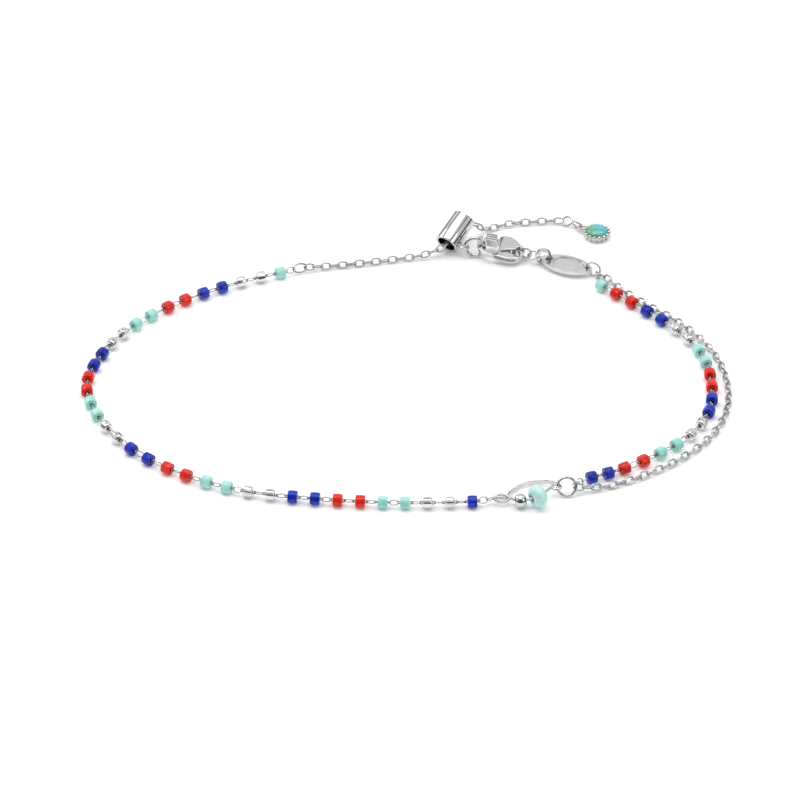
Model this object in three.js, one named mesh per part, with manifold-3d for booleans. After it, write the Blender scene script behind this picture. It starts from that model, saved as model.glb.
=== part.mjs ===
// Beaded anklet lying on a flat surface: millimetres, +Z up.
// A closed loop of glass beads on a link chain, with a second plain chain on its right side, a centre
// piece at the front, and a lobster clasp, tag, sliding barrel and tail charm at the back.
import * as THREE from 'three';
import { mergeVertices } from 'three/addons/utils/BufferGeometryUtils.js';
import Module from 'manifold-3d';

const wasm = await Module();
wasm.setup();
const degrees = THREE.MathUtils.degToRad;

// Beads and the chain that carries them
const beadDiameter = 1.6;
const beadLength = 1.25;
const longStrandBeads = 36;
const shortStrandBeads = 21;
const endGap = 1.67; // bare chain past a strand's last bead
const looseLinkLength = 1.67; // links at the strands' back ends
const chainWire = 0.2;
const chainLinkWidth = 1.0;
const eyeWidth = 0.8; // wire eye on a bead's end
const seatDepth = 0.3; // how far a link or eye runs into its bead
const runClearance = 0.06; // play between two interlocked wires
const linkLean = degrees(40); // how far the links lie over from flat
const fineChainWidth = 1.0; // plain chain, across its links
const fineChainSteps = 30;
const ringPlay = 0.1; // between a ring and what it holds

// Larger rings and links, by outer size and wire
const connectorLength = 2.2;
const connectorWidth = 1.5;
const connectorWire = 0.3;
const centreRingDiameter = 2.8;
const centreRingWire = 0.34;
const centreRingTilt = degrees(28); // leaning back from upright
const sliderRingDiameter = 3.1;
const sliderRingWire = 0.4;
const sliderRingTilt = degrees(12);
const tagRingDiameter = 2.3;
const claspRingDiameter = 2.1;
const bailRingDiameter = 1.9;
const bailRingLean = degrees(12);
const charmRingDiameter = 1.9;
const charmRingLean = degrees(61);
const smallRingWire = 0.28;
const tailRingDiameter = 1.7;
const tailRingWire = 0.24;
const tailRingLean = degrees(34);

// Sliding barrel on the adjuster chain
const barrelDiameter = 3.4;
const barrelWall = 0.4;
const barrelLength = 4.8;
const barrelTurn = degrees(55.3); // its axis, seen from above
const barrelRise = degrees(22.8); // and off the floor
const lugDiameter = 1.7;
const lugWire = 0.32;
const lugStation = 0.9; // from the barrel's low end
const lugSeat = 0.24; // how far the lug runs into the barrel's wall

// Lobster clasp
const claspLength = 7.0;
const claspWidth = 3.9;
const claspThickness = 1.15;
const claspBar = 0.8; // thickness of its lower arm and nose
const claspMouth = 1.55; // clear height inside the claw
const claspMouthRound = 0.7; // reach of the rounding at the mouth's inner end
const claspNoseRound = 0.4; // and behind the nose
const claspTaper = 0.5; // where its lower edge starts to turn up to the tail
const claspTurn = degrees(-13.6);
const claspDip = degrees(5); // nose held up by the slider ring
const claspLean = degrees(10);
const claspShoulder = 0.25; // from the mouth's inner end to the pivot
const tailEyeDiameter = 1.7;
const tailEyeBore = 0.8;
const tailEyeDrop = 0.1; // below the clasp's middle line
const tailWeb = 0.4; // metal between the lever's slot and the tail eye's bore
const pivotDiameter = 0.44;
const pivotClearance = 0.07;
const leverThickness = 0.45;
const leverClearance = 0.1; // beside the lever and at its tip
const leverEndRadius = 0.5;
const leverNeckLength = 1.1; // between the lever's arm and its thumb tab
const leverNeckInset = 0.2; // from the pivot
const leverTabLength = 2.6;
const leverTabOverhang = 0.7; // past the pivot
const leverTabSlope = 0.3;
const slotDepth = 0.35; // the lever's slot, below the mouth's upper side
const slotReach = 1.5; // and forward of the mouth's inner end

// Tag plate and the wide band ring that holds its left tip
const tagLength = 7.6;
const tagWidth = 3.8;
const tagThickness = 0.6;
const tagRim = 0.42;
const tagRecess = 0.12;
const tagHole = 0.8;
const tagHoleInset = 0.9; // from the right tip to the hole's middle
const tagSlot = 0.94; // left slot, along the tag
const tagSlotWidth = 1.0;
const tagSlotInset = 1.1;
const tagLift = 0.48; // it lies on the rings at its tips
const tagTurn = degrees(-23.5);
const bandDiameter = 2.4;
const bandWall = 0.25;
const bandWidth = 0.75;

// Centre piece: a half-moon frame whose straight side carries a ball and a faceted stone
const frameWire = 0.38;
const frameBandHeight = 0.7;
const frameBandThickness = 0.32;
const frameBandSteps = 12;
const frameEyeLength = 2.5;
const frameEyeWidth = 1.4;
const frameEndDiameter = 1.5; // right-hand eye, round the centre ring
const ballDiameter = 1.9;
const ballLength = 1.5;
const ballDrill = 1.1;
const stoneDiameter = 3.1;
const stoneLength = 2.2;
const stoneTable = 1.92; // flat round face at either end
const stoneGirdle = 0.88; // straight part of its rim
const stoneDrill = 1.2;

// Charm: a domed stone in a crown setting
const charmDiameter = 3.9;
const charmHeight = 1.0;
const crownPoints = 14;
const crownNotch = 0.28;
const settingFloor = 0.4;
const settingClearance = 0.05;
const cabochonDiameter = 3.0;
const cabochonDome = 0.65;
const cabochonRim = 0.9; // height at which the dome starts
const charmEyeDiameter = 1.4;
const charmEyeHeight = 0.62;
const charmEyeSeat = 0.1;

const beadSides = 10;
const wireSides = 5;
const ringSides = 12;
const ringWireSides = 6;
const tubeSides = 8;
const roundSides = 16;

// Routes in mm, seen from above, chosen by hand: the first and last points of a beaded strand are the
// middles of its end beads. Heights are given only where a route leaves the floor.
const routes = {
  longStrand: [
    [-16.5, 28.7], [-22.0, 26.4], [-29.4, 22.1], [-35.6, 16.6], [-39.9, 9.7], [-41.7, 2.6],
    [-40.2, -3.8], [-35.3, -11.7], [-27.8, -17.6], [-19.7, -21.1], [-11.1, -22.6], [-2.3, -23.4],
    [4.0, -23.5], [9.3, -23.25],
  ],
  shortStrand: [
    [24.8, -18.1], [29.0, -16.2], [34.0, -12.8], [38.2, -8.7], [40.8, -3.7], [41.5, 2.2],
    [40.8, 8.2], [38.9, 13.0], [35.6, 17.3], [31.4, 21.8], [27.7, 25.5],
  ],
  plainChain: [
    [23.5, -20.7, 0.8], [26.6, -19.6, 0.5], [31.5, -17.3, 0.5], [36.6, -13.6, 0.5], [41.0, -8.4, 0.5],
    [43.4, -1.9, 0.5], [43.4, 5.2, 0.5], [41.6, 11.5, 0.5], [37.8, 17.3, 0.5], [33.2, 21.9, 0.5],
    [30.0, 25.6, 0.5], [28.5, 27.6, 0.6],
  ],
  frameBow: [[14.4, -20.6, 0.4], [16.2, -19.0, 0.4], [18.2, -18.5, 0.4], [19.6, -19.1, 0.7]],
  adjusterIn: [[-12.25, 30.2, 0.6], [-9.5, 30.8, 0.5], [-4.8, 31.6, 0.5], [0.0, 32.6, 0.5], [3.4, 33.3, 0.7]],
  adjusterOut: [
    [10.6, 39.1, 1.7], [12.0, 39.8, 0.6], [15.1, 41.2, 0.5], [18.4, 41.7, 0.5], [21.2, 42.0, 0.5],
    [22.3, 42.1, 0.5],
  ],
};
const places = {
  barrelLowEnd: [6.4, 34.5],
  centreRing: [21.5, -20.7],
  charm: [27.5, 38.8],
  ball: [15.6, -23.3],
  stone: [17.9, -23.1],
  tailRing: [23.4, 41.8],
};
const headings = {
  frameEye: [1, 0.11, -0.09],
  tailRing: [0.8, -0.6],
  charmEye: [-0.85, 0.53],
};

const silver = { color: 0xc9cacb, roughness: 0.2, metalness: 1 };
const finishes = {
  silver: { color: 0xd2d3d4, roughness: 0.25, metalness: 1 },
  blue: { color: 0x26379a, roughness: 0.15, metalness: 0 },
  red: { color: 0xd0402e, roughness: 0.15, metalness: 0 },
  turquoise: { color: 0x86cdbb, roughness: 0.3, metalness: 0 },
};
const stoneFinish = { color: 0x8fd0c6, roughness: 0.3, metalness: 0, flatShading: true };
const cabochonFinish = { color: 0x3fa6a0, roughness: 0.2, metalness: 0 };

const axisX = new THREE.Vector3(1, 0, 0);
const axisZ = new THREE.Vector3(0, 0, 1);
const anklet = new THREE.Group();

const vec = ([x, y, z = 0]) => new THREE.Vector3(x, y, z);
const inside = (diameter, wire) => diameter / 2 - wire; // a ring's clear radius
const middle = (diameter, wire) => (diameter - wire) / 2; // radius of its wire's centre line

function toSolid(geometry) {
  const bare = geometry.clone();
  bare.deleteAttribute('normal');
  bare.deleteAttribute('uv');
  const merged = mergeVertices(bare, 1e-4);
  return new wasm.Manifold(new wasm.Mesh({
    numProp: 3,
    vertProperties: new Float32Array(merged.attributes.position.array),
    triVerts: new Uint32Array(merged.index.array),
  }));
}

function toGeometry(solid) {
  const { vertProperties, triVerts } = solid.getMesh();
  const geometry = new THREE.BufferGeometry();
  geometry.setAttribute('position', new THREE.BufferAttribute(vertProperties, 3));
  geometry.setIndex(new THREE.BufferAttribute(triVerts, 1));
  geometry.computeVertexNormals();
  return geometry;
}

function joined(geometries) {
  return geometries.map(toSolid).reduce((sum, next) => sum.add(next));
}

function addPiece(name, solid, finish, place = new THREE.Matrix4()) {
  const piece = new THREE.Mesh(toGeometry(solid), new THREE.MeshStandardMaterial(finish));
  piece.name = name;
  piece.applyMatrix4(place);
  anklet.add(piece);
}

// A frame with its x axis along a direction and its z axis as near to a normal as it can be
function framed(origin, along, normal = axisZ) {
  const x = along.clone().normalize();
  const y = normal.clone().cross(x).normalize();
  const z = x.clone().cross(y);
  return new THREE.Matrix4().makeBasis(x, y, z).setPosition(origin);
}

// The normal of a link that lies over from flat by an angle about its own length
function leaning(along, angle) {
  return axisZ.clone().applyAxisAngle(along.clone().normalize(), angle);
}

// A link with straight sides: a ring cut in two halves that are moved apart along x
function linkShape(length, width, wire, sides = beadSides) {
  const ring = new THREE.TorusGeometry(middle(width, wire), wire / 2, wireSides, sides);
  const shift = (length - width) / 2;
  const points = ring.attributes.position;
  for (let i = 0; i < points.count; i += 1) {
    points.setX(i, points.getX(i) + Math.sign(points.getX(i)) * shift);
  }
  return ring;
}

function ringShape(diameter, wire) {
  return new THREE.TorusGeometry(middle(diameter, wire), wire / 2, ringWireSides, ringSides);
}

function addRing(name, diameter, wire, place) {
  addPiece(name, toSolid(ringShape(diameter, wire)), silver, place);
}

// Height of the middle of a ring that lies over and touches the floor
function lyingHeight(diameter, wire, lean) {
  return middle(diameter, wire) * Math.sin(lean) + wire / 2;
}

// A round solid or ring turned about x from pairs of distance along x and radius
function turned(profile, sides) {
  const points = profile.map(([along, radius]) => new THREE.Vector2(radius, along));
  return new THREE.LatheGeometry(points, sides).rotateZ(-Math.PI / 2);
}

function hollowTurned(length, outer, inner, sides) {
  const half = length / 2;
  return turned([[-half, inner], [-half, outer], [half, outer], [half, inner], [-half, inner]], sides);
}

function curveOf(points) {
  const curve = new THREE.CatmullRomCurve3(points);
  curve.arcLengthDivisions = 400;
  return curve;
}

function tubeAlong(curve, radius, steps, sides = tubeSides) {
  const section = new THREE.Shape();
  for (let i = 0; i < sides; i += 1) {
    const angle = (2 * Math.PI * i) / sides;
    section[i ? 'lineTo' : 'moveTo'](radius * Math.cos(angle), radius * Math.sin(angle));
  }
  return new THREE.ExtrudeGeometry(section, { steps, extrudePath: curve, curveSegments: 1 });
}

// A wire through a few points, one step from each to the next
function bentWire(points, wire) {
  const path = new THREE.CatmullRomCurve3(points);
  path.getPointAt = (u, target) => path.getPoint(u, target);
  path.getTangentAt = (u, target) => path.getTangent(u, target);
  return tubeAlong(path, wire / 2, points.length - 1, wireSides);
}

function outlineOf(points) {
  return new THREE.Shape(points.map(([x, y]) => new THREE.Vector2(x, y)));
}

// A flat piece cut from an outline, centred on z = 0
function plate(outline, thickness, curveSegments = 4) {
  const options = { depth: thickness, bevelEnabled: false, curveSegments };
  return new THREE.ExtrudeGeometry(outline, options).translate(0, 0, -thickness / 2);
}

function rod(diameter, length, sides = ringSides) {
  return new THREE.CylinderGeometry(diameter / 2, diameter / 2, length, sides).rotateX(Math.PI / 2);
}

// Beaded strands
const beadPitch = beadLength + endGap;
const beadSeat = beadLength / 2 - seatDepth; // from a bead's middle to where its link or eye starts
const eyeReach = 2 * chainWire + 2 * runClearance; // an eye's outer end, from its bead's face

function beadShape(bead) {
  const radius = beadDiameter / 2;
  return new THREE.CylinderGeometry(radius, radius, beadLength, beadSides)
    .rotateZ(Math.PI / 2)
    .applyMatrix4(framed(bead.centre, bead.tangent));
}

// A wire eye: a half link that starts inside its bead at x = 0
function eyeShape(length, width, wire) {
  const radius = middle(width, wire);
  const bend = length - wire / 2 - radius;
  const bends = 4;
  const points = [[0, radius]];
  for (let i = 0; i <= bends; i += 1) {
    const angle = Math.PI * (0.5 - i / bends);
    points.push([bend + radius * Math.cos(angle), radius * Math.sin(angle)]);
  }
  points.push([0, -radius]);
  return bentWire(points.map(vec), wire);
}

// A link whose near end is seated in the bead at `from`. It ends in the bead at `to`, or just short of
// that bead's face, where it hangs in the bead's eye.
function beadLink(from, to, seated) {
  const along = to.clone().sub(from);
  const gap = along.length() - beadLength;
  const length = gap + seatDepth + (seated ? seatDepth : -runClearance);
  along.normalize();
  const place = from.clone().addScaledVector(along, beadSeat + length / 2);
  return linkShape(length, chainLinkWidth, chainWire)
    .applyMatrix4(framed(place, along, leaning(along, linkLean)));
}

// One group is a run of beads of one colour, the links between them, a wire eye on its first bead and a
// link on its last bead that hangs in the next eye.
function beadGroup(name, beads, before, after, finish) {
  const centres = beads.map((bead) => bead.centre);
  const parts = beads.map(beadShape);
  for (let i = 1; i < beads.length; i += 1) {
    parts.push(beadLink(centres[i - 1], centres[i], true));
  }
  parts.push(beadLink(centres.at(-1), after, false));
  const back = before.clone().sub(centres[0]).normalize();
  const eyeRoot = centres[0].clone().addScaledVector(back, beadSeat);
  parts.push(eyeShape(eyeReach + seatDepth, eyeWidth, chainWire)
    .applyMatrix4(framed(eyeRoot, back, leaning(back, Math.PI / 2 - linkLean))));

  const place = framed(beads[0].centre, beads[0].tangent);
  const home = place.clone().invert();
  parts.forEach((part) => part.applyMatrix4(home));
  addPiece(name, joined(parts), finish, place);
}

// Colours go in pairs, and `start` is the place of the first bead in the pattern
function beadedStrand(name, route, count, colours, start, before, after) {
  const curve = curveOf(route.map((point) => vec(point).setZ(beadDiameter / 2)));
  const beads = [];
  for (let k = 0; k < count; k += 1) {
    const u = k / (count - 1);
    const colour = colours[Math.floor((k + start) / 2) % colours.length];
    beads.push({ centre: curve.getPointAt(u), tangent: curve.getTangentAt(u), colour });
  }
  const tally = {};
  let from = 0;
  for (let k = 1; k <= count; k += 1) {
    if (k < count && beads[k].colour === beads[from].colour) continue;
    const { colour } = beads[from];
    tally[colour] = (tally[colour] || 0) + 1;
    const previous = from > 0 ? beads[from - 1].centre : before;
    const next = k < count ? beads[k].centre : after;
    beadGroup(`${name}_${colour}_${tally[colour]}`, beads.slice(from, k), previous, next, finishes[colour]);
    from = k;
  }
}

function beadEnd(route, end) {
  return vec(route.at(end)).setZ(beadDiameter / 2);
}

// Centre ring, standing and leaning back a little
const centreRing = vec(places.centreRing);
centreRing.z = lyingHeight(centreRingDiameter, centreRingWire, Math.PI / 2 - centreRingTilt);
const centreRingNormal = new THREE.Vector3(0, -Math.cos(centreRingTilt), Math.sin(centreRingTilt));
addRing('centre_ring', centreRingDiameter, centreRingWire, framed(centreRing, axisX, centreRingNormal));

// Barrel that slides on the adjuster chain, with a lug soldered to its side for the slider ring
const barrelRadius = barrelDiameter / 2;
const barrelAlong = new THREE.Vector3(Math.cos(barrelTurn), Math.sin(barrelTurn), 0)
  .multiplyScalar(Math.cos(barrelRise))
  .setZ(Math.sin(barrelRise));
const barrelLow = vec(places.barrelLowEnd).setZ(barrelRadius * Math.cos(barrelRise));
const barrelHigh = barrelLow.clone().addScaledVector(barrelAlong, barrelLength);
const barrelMiddle = barrelLow.clone().lerp(barrelHigh, 0.5);
const sliderRise = new THREE.Vector3(0, Math.sin(sliderRingTilt), Math.cos(sliderRingTilt));
const sliderHeight = lyingHeight(sliderRingDiameter, sliderRingWire, Math.PI / 2 - sliderRingTilt);
const lugReach = barrelRadius + lugDiameter / 2 - lugSeat;
const lugHang = inside(lugDiameter, lugWire) - sliderRingWire / 2 - ringPlay;
const lugRoot = barrelLow.clone().addScaledVector(barrelAlong, lugStation);
const barrelSide = barrelAlong.clone().cross(axisZ).normalize();
const barrelDown = barrelAlong.clone().cross(barrelSide).normalize();
const lugDrop = lugRoot.z - sliderHeight;
const lugFall = Math.asin(lugDrop / ((lugReach + lugHang) * Math.cos(barrelRise)));
const lugOut = barrelSide.clone().multiplyScalar(Math.cos(lugFall));
lugOut.addScaledVector(barrelDown, Math.sin(lugFall) * Math.sign(-barrelDown.z));
const lugMiddle = lugRoot.clone().addScaledVector(lugOut, lugReach);
const barrelFrame = framed(barrelMiddle, barrelAlong);
const barrelParts = [
  hollowTurned(barrelLength, barrelRadius, barrelRadius - barrelWall, roundSides),
  ringShape(lugDiameter, lugWire)
    .applyMatrix4(barrelFrame.clone().invert().multiply(framed(lugMiddle, lugOut, sliderRise))),
];
addPiece('slider_barrel', joined(barrelParts), silver, barrelFrame);

const sliderRingRadius = middle(sliderRingDiameter, sliderRingWire);
const sliderRing = lugMiddle.clone()
  .addScaledVector(lugOut, lugHang)
  .addScaledVector(axisX, sliderRingRadius);
addRing('slider_ring', sliderRingDiameter, sliderRingWire,
  framed(sliderRing, axisX, axisX.clone().cross(sliderRise)));

// Lobster clasp, whose claw hangs in the slider ring. Its own x runs from nose to tail, y across and z
// through its thickness.
const claspAlong = new THREE.Vector3(Math.cos(claspTurn), Math.sin(claspTurn), 0)
  .multiplyScalar(Math.cos(claspDip))
  .setZ(-Math.sin(claspDip));
const claspNormal = leaning(claspAlong, claspLean);
const claspAcross = claspNormal.clone().cross(claspAlong).normalize();
const claspHalf = claspWidth / 2;
const mouthLow = claspBar - claspHalf;
const mouthHigh = mouthLow + claspMouth;
const leverTop = mouthHigh + claspBar;
const earRadius = leverEndRadius + leverClearance;
const tailEye = { x: claspLength - tailEyeDiameter / 2, y: -tailEyeDrop };
const pivot = { x: tailEye.x - tailEyeBore / 2 - tailWeb - earRadius, y: mouthHigh + claspBar / 2 };
const mouthEnd = pivot.x - claspShoulder;

function claspBody() {
  const outline = new THREE.Shape();
  outline.moveTo(claspHalf / 2, -claspHalf);
  outline.lineTo(mouthEnd, -claspHalf);
  outline.quadraticCurveTo(tailEye.x - claspTaper, -claspHalf, tailEye.x, tailEye.y - tailEyeDiameter / 2);
  outline.absarc(tailEye.x, tailEye.y, tailEyeDiameter / 2, -Math.PI / 2, Math.PI / 2, false);
  outline.lineTo(pivot.x + earRadius, pivot.y);
  outline.absarc(pivot.x, pivot.y, earRadius, 0, Math.PI, false);
  outline.lineTo(mouthEnd, mouthHigh - slotDepth);
  outline.quadraticCurveTo(mouthEnd, mouthLow, mouthEnd - claspMouthRound, mouthLow);
  outline.lineTo(claspBar + claspNoseRound, mouthLow);
  outline.quadraticCurveTo(claspBar, mouthLow, claspBar, mouthLow + claspNoseRound);
  outline.lineTo(claspBar, leverTop);
  outline.quadraticCurveTo(0, leverTop, 0, leverTop - claspBar);
  outline.lineTo(0, -claspHalf / 2);
  outline.quadraticCurveTo(0, -claspHalf, claspHalf / 2, -claspHalf);
  const [slotStart, slotLow, slotHigh] = [mouthEnd - slotReach, mouthHigh - slotDepth, 2 * leverTop];
  const slot = outlineOf([
    [slotStart, slotLow], [pivot.x, slotLow], [pivot.x, slotHigh], [slotStart, slotHigh],
  ]);
  const slotWidth = leverThickness + 2 * leverClearance;
  const round = rod(2 * earRadius, slotWidth, roundSides).translate(pivot.x, pivot.y, 0);
  const bore = rod(tailEyeBore, 2 * claspThickness).translate(tailEye.x, tailEye.y, 0);
  const pin = rod(pivotDiameter, claspThickness - leverClearance).translate(pivot.x, pivot.y, 0);
  return toSolid(plate(outline, claspThickness))
    .subtract(toSolid(plate(slot, slotWidth)))
    .subtract(toSolid(round))
    .subtract(toSolid(bore))
    .add(toSolid(pin));
}

function claspLever() {
  const tip = claspBar + leverClearance;
  const tabLow = pivot.y + earRadius + leverClearance;
  const tabHigh = claspHalf;
  const neckTop = (tabLow + tabHigh) / 2;
  const neckEnd = pivot.x - leverNeckInset;
  const neckStart = neckEnd - leverNeckLength;
  const arm = new THREE.Shape();
  arm.moveTo(tip, mouthHigh);
  arm.lineTo(pivot.x, pivot.y - leverEndRadius);
  arm.absarc(pivot.x, pivot.y, leverEndRadius, -Math.PI / 2, Math.PI / 2, false);
  arm.lineTo(neckEnd, neckTop);
  arm.lineTo(neckStart, neckTop);
  arm.lineTo(neckStart - 2 * leverTabSlope, leverTop);
  arm.lineTo(tip, leverTop);
  arm.closePath();
  const tabEnd = pivot.x + leverTabOverhang;
  const tabStart = tabEnd - leverTabLength;
  const tab = outlineOf([
    [tabStart, tabLow], [tabEnd, tabLow], [tabEnd - leverTabSlope, tabHigh],
    [tabStart + 2 * leverTabSlope, tabHigh],
  ]);
  const holeDiameter = pivotDiameter + 2 * pivotClearance;
  const hole = rod(holeDiameter, 2 * leverThickness).translate(pivot.x, pivot.y, 0);
  return toSolid(plate(arm, leverThickness))
    .subtract(toSolid(hole))
    .add(toSolid(plate(tab, claspThickness)));
}

const hookX = claspBar + 1.4 * ringPlay + sliderRingWire; // where the slider ring's wire crosses the claw
const hookY = mouthLow + sliderRingWire / 2 + 3.4 * ringPlay;
const claspOrigin = sliderRing.clone()
  .addScaledVector(axisX, sliderRingRadius)
  .addScaledVector(claspAlong, -hookX)
  .addScaledVector(claspAcross, -hookY);
const claspFrame = framed(claspOrigin, claspAlong, claspNormal);
addPiece('clasp_body', claspBody(), silver, claspFrame);
addPiece('clasp_lever', claspLever(), silver, claspFrame);

// Two jump rings between the clasp and the tag's band ring
const claspRingReach = middle(claspRingDiameter, smallRingWire);
const claspRing = new THREE.Vector3(tailEye.x + claspRingReach - ringPlay, tailEye.y, 0)
  .applyMatrix4(claspFrame);
addRing('clasp_ring', claspRingDiameter, smallRingWire, framed(claspRing, claspAlong, claspAcross));

const tagAlong = axisX.clone().applyAxisAngle(axisZ, tagTurn);
const tagAcross = axisZ.clone().cross(tagAlong);
const bailRing = claspRing.clone()
  .addScaledVector(claspAlong, inside(claspRingDiameter, smallRingWire) - smallRingWire / 2 - ringPlay)
  .addScaledVector(tagAlong, middle(bailRingDiameter, smallRingWire));
addRing('bail_ring', bailRingDiameter, smallRingWire,
  framed(bailRing, tagAlong, leaning(tagAlong, bailRingLean)));

// Wide band ring, standing, its low side under the tag's left tip
const bandRadius = bandDiameter / 2;
const bandReach = inside(bailRingDiameter, smallRingWire) - bandWall - 2 * ringPlay;
const bandMiddle = bailRing.clone()
  .addScaledVector(tagAlong, bandReach + bandRadius)
  .setZ(bandRadius);
addPiece('tag_band', toSolid(hollowTurned(bandWidth, bandRadius, bandRadius - bandWall, roundSides)), silver,
  framed(bandMiddle, tagAcross));

// How far beside its own middle a standing ring crosses the tag's plate
function crossing(radius, height) {
  const low = height - tagLift;
  const high = low - tagThickness;
  return (Math.sqrt(radius * radius - low * low) + Math.sqrt(radius * radius - high * high)) / 2;
}

function pointedOval(length, width) {
  const bulge = (length * length / 4 + width * width / 4) / width; // radius of either side
  const half = Math.asin(length / 2 / bulge);
  const outline = new THREE.Shape();
  outline.absarc(0, width / 2 - bulge, bulge, Math.PI / 2 - half, Math.PI / 2 + half, false);
  outline.absarc(0, bulge - width / 2, bulge, -Math.PI / 2 - half, -Math.PI / 2 + half, false);
  return outline;
}

// Tag plate: a pointed oval with a raised rim, a slot at its left tip and a hole at its right
function tagPlate() {
  const tip = tagLength / 2;
  const segments = 8;
  const slotX = tagSlotInset - tip;
  const holeX = tip - tagHoleInset;
  const fieldStart = slotX + tagSlot / 2 + tagRim;
  const fieldEnd = holeX - tagHole / 2 - tagRim / 2;
  const oval = plate(pointedOval(tagLength, tagWidth), tagThickness, segments);
  const field = plate(pointedOval(fieldEnd - fieldStart, tagWidth - 2 * tagRim), 2 * tagRecess, segments)
    .translate((fieldStart + fieldEnd) / 2, 0, tagThickness / 2);
  const hole = rod(tagHole, 2 * tagThickness).translate(holeX, 0, 0);
  const slot = new THREE.BoxGeometry(tagSlot, tagSlotWidth, 2 * tagThickness).translate(slotX, 0, 0);
  return toSolid(oval).subtract(toSolid(field)).subtract(toSolid(hole)).subtract(toSolid(slot));
}

const tagMiddle = bandMiddle.clone()
  .addScaledVector(tagAlong, crossing(bandRadius - bandWall / 2, bandRadius) - tagSlotInset + tagLength / 2)
  .setZ(tagLift + tagThickness / 2);
addPiece('tag_plate', tagPlate(), silver, framed(tagMiddle, tagAlong));

const tagRingHeight = tagRingDiameter / 2;
const tagRingCrossing = crossing(middle(tagRingDiameter, smallRingWire), tagRingHeight);
const tagRing = tagMiddle.clone()
  .addScaledVector(tagAlong, tagLength / 2 - tagHoleInset + tagRingCrossing)
  .setZ(tagRingHeight);
addRing('tag_ring', tagRingDiameter, smallRingWire, framed(tagRing, tagAlong, tagAcross));

// The strands and the small links at their back ends
const longFirst = beadEnd(routes.longStrand, 0);
const longLast = beadEnd(routes.longStrand, -1);
const longBack = longFirst.clone().sub(beadEnd(routes.longStrand, 1)).normalize();
const frameOn = vec(headings.frameEye).normalize();
beadedStrand('long_strand', routes.longStrand, longStrandBeads, ['turquoise', 'silver', 'blue', 'red'], 1,
  longFirst.clone().add(longBack), longLast.clone().addScaledVector(frameOn, beadPitch));

const shortFirst = beadEnd(routes.shortStrand, 0);
const shortLast = beadEnd(routes.shortStrand, -1);
const shortBack = centreRing.clone().sub(shortFirst).normalize();
const shortOn = tagRing.clone().setZ(shortLast.z).sub(shortLast).normalize();
beadedStrand('short_strand', routes.shortStrand, shortStrandBeads, ['blue', 'red', 'turquoise', 'silver'], 0,
  centreRing, shortLast.clone().addScaledVector(shortOn, beadPitch));

// A loose link that hangs in the eye of a strand's first bead, and the point where it ends
function looseLink(name, first, along) {
  const face = first.clone().addScaledVector(along, beadLength / 2 + runClearance);
  const place = face.clone().addScaledVector(along, looseLinkLength / 2);
  addPiece(name, toSolid(linkShape(looseLinkLength, chainLinkWidth, chainWire)), silver,
    framed(place, along, leaning(along, -linkLean)));
  return face.addScaledVector(along, looseLinkLength);
}
looseLink('end_link_front', shortFirst, shortBack);
const connector = looseLink('end_link_back', longFirst, longBack)
  .addScaledVector(longBack, connectorLength / 2 - connectorWire - chainWire - runClearance);
addPiece('connector_link', toSolid(linkShape(connectorLength, connectorWidth, connectorWire, ringSides)),
  silver, framed(connector, longBack, leaning(longBack, Math.PI / 2 - linkLean)));

// Fine chains, whose small links are left out: a tube of the links' own width runs along each
function fineChain(name, points) {
  addPiece(name, toSolid(tubeAlong(curveOf(points), fineChainWidth / 2, fineChainSteps)), silver);
}
fineChain('plain_chain', routes.plainChain.map(vec));
fineChain('adjuster_chain',
  [...routes.adjusterIn.map(vec), barrelLow, barrelHigh, ...routes.adjusterOut.map(vec)]);

// Centre piece: the wire's straight side is threaded through the ball and the stone
const strandReach = beadLength / 2 + endGap - runClearance; // from the last bead to its link's end
const frameEye = longLast.clone().addScaledVector(frameOn,
  strandReach - chainWire - runClearance - frameWire + frameEyeLength / 2);
const frameEnd = centreRing.clone().addScaledVector(axisX,
  ringPlay + centreRingWire - centreRingDiameter / 2 + frameWire - frameEndDiameter / 2);
const ball = vec(places.ball).setZ(ballDiameter / 2);
const stone = vec(places.stone).setZ(stoneDiameter / 2);
const chord = curveOf([
  frameEye.clone().addScaledVector(frameOn, middle(frameEyeLength, frameWire)), ball, stone,
  frameEnd.clone().addScaledVector(axisX, -middle(frameEndDiameter, frameWire)),
]);
const ballAlong = chord.getTangent(1 / 3);
const stoneAlong = chord.getTangent(2 / 3);

function centreFrame() {
  const bow = curveOf([
    frameEye.clone().add(new THREE.Vector3(frameEyeLength / 3, middle(frameEyeWidth, frameWire), 0)),
    ...routes.frameBow.map(vec),
    frameEnd.clone().add(new THREE.Vector3(0, middle(frameEndDiameter, frameWire), 0)),
  ]);
  const [high, thick] = [frameBandHeight / 2, frameBandThickness / 2];
  const band = outlineOf([[-high, -thick], [high, -thick], [high, thick], [-high, thick]]);
  return joined([
    linkShape(frameEyeLength, frameEyeWidth, frameWire)
      .applyMatrix4(framed(frameEye, frameOn, leaning(frameOn, linkLean - Math.PI / 2))),
    tubeAlong(chord, frameWire / 2, ringSides, ringWireSides),
    new THREE.ExtrudeGeometry(band, { steps: frameBandSteps, extrudePath: bow, curveSegments: 1 }),
    linkShape(frameEndDiameter, frameEndDiameter, frameWire).applyMatrix4(framed(frameEnd, axisX)),
  ]);
}
addPiece('centre_frame', centreFrame(), silver);

function silverBall() {
  const [half, drill] = [ballLength / 2, ballDrill / 2];
  const bulge = 0.26 * Math.PI; // how far either side of its middle the round runs
  const profile = [[-half, drill]];
  for (let i = -2; i <= 2; i += 1) {
    const angle = (bulge * i) / 2;
    profile.push([(half * Math.sin(angle)) / Math.sin(bulge), (ballDiameter / 2) * Math.cos(angle)]);
  }
  profile.push([half, drill], [-half, drill]);
  return toSolid(turned(profile, ringSides));
}
addPiece('silver_ball', silverBall(), silver, framed(ball, ballAlong));

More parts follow.
